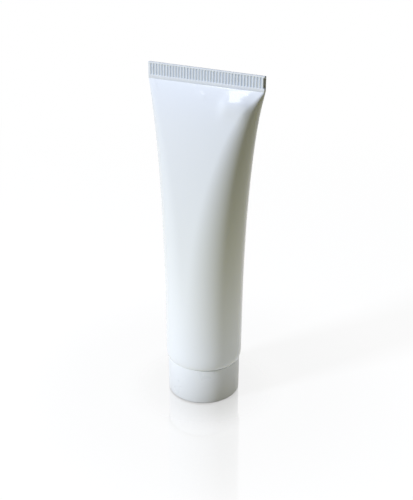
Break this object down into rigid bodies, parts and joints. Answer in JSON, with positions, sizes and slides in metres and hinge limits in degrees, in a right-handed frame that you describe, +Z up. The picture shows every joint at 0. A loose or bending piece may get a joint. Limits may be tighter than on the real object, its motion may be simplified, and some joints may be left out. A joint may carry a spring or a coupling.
{
  "type": "lubricant tube",
  "caption": "White squeeze tube of gel that stands on its screw cap, round at the shoulder and welded flat, with a ribbed band, at the top.",
  "frame": {"origin": "centre of the cap's foot, on the surface that the tube stands on", "axes": "+Z up the tube to its flat end, +X along the flat end, -Y out of the front"},
  "size_m": [0.0472, 0.03, 0.1293],
  "materials": {
    "cap_plastic": "satin",
    "wad_foam": "matte",
    "seal_foil": "satin",
    "head_plastic": "satin",
    "sleeve_film": "gloss",
    "clear_gel": "gloss"
  },
  "bodies": {
    "cap": {"cap": "cap_plastic"},
    "wad": {"cap_wad": "wad_foam"},
    "tube": {"sleeve": "sleeve_film", "tube_head": "head_plastic", "foil_seal": "seal_foil", "gel": "clear_gel"}
  },
  "joints": [
    {"name": "thread_turn", "type": "hinge", "parent": "cap", "child": "wad", "pos_m": [0, 0, 0.0026], "axis": [0, 0, 1], "range_deg": [0, 1080]},
    {"name": "thread_rise", "type": "slide", "parent": "wad", "child": "tube", "axis": [0, 0, 1], "range_m": [0, 0.009]}
  ],
  "couplings": [
    {"joint": "thread_rise", "follows": "thread_turn", "m_per_rad": 0.00047746}
  ]
}
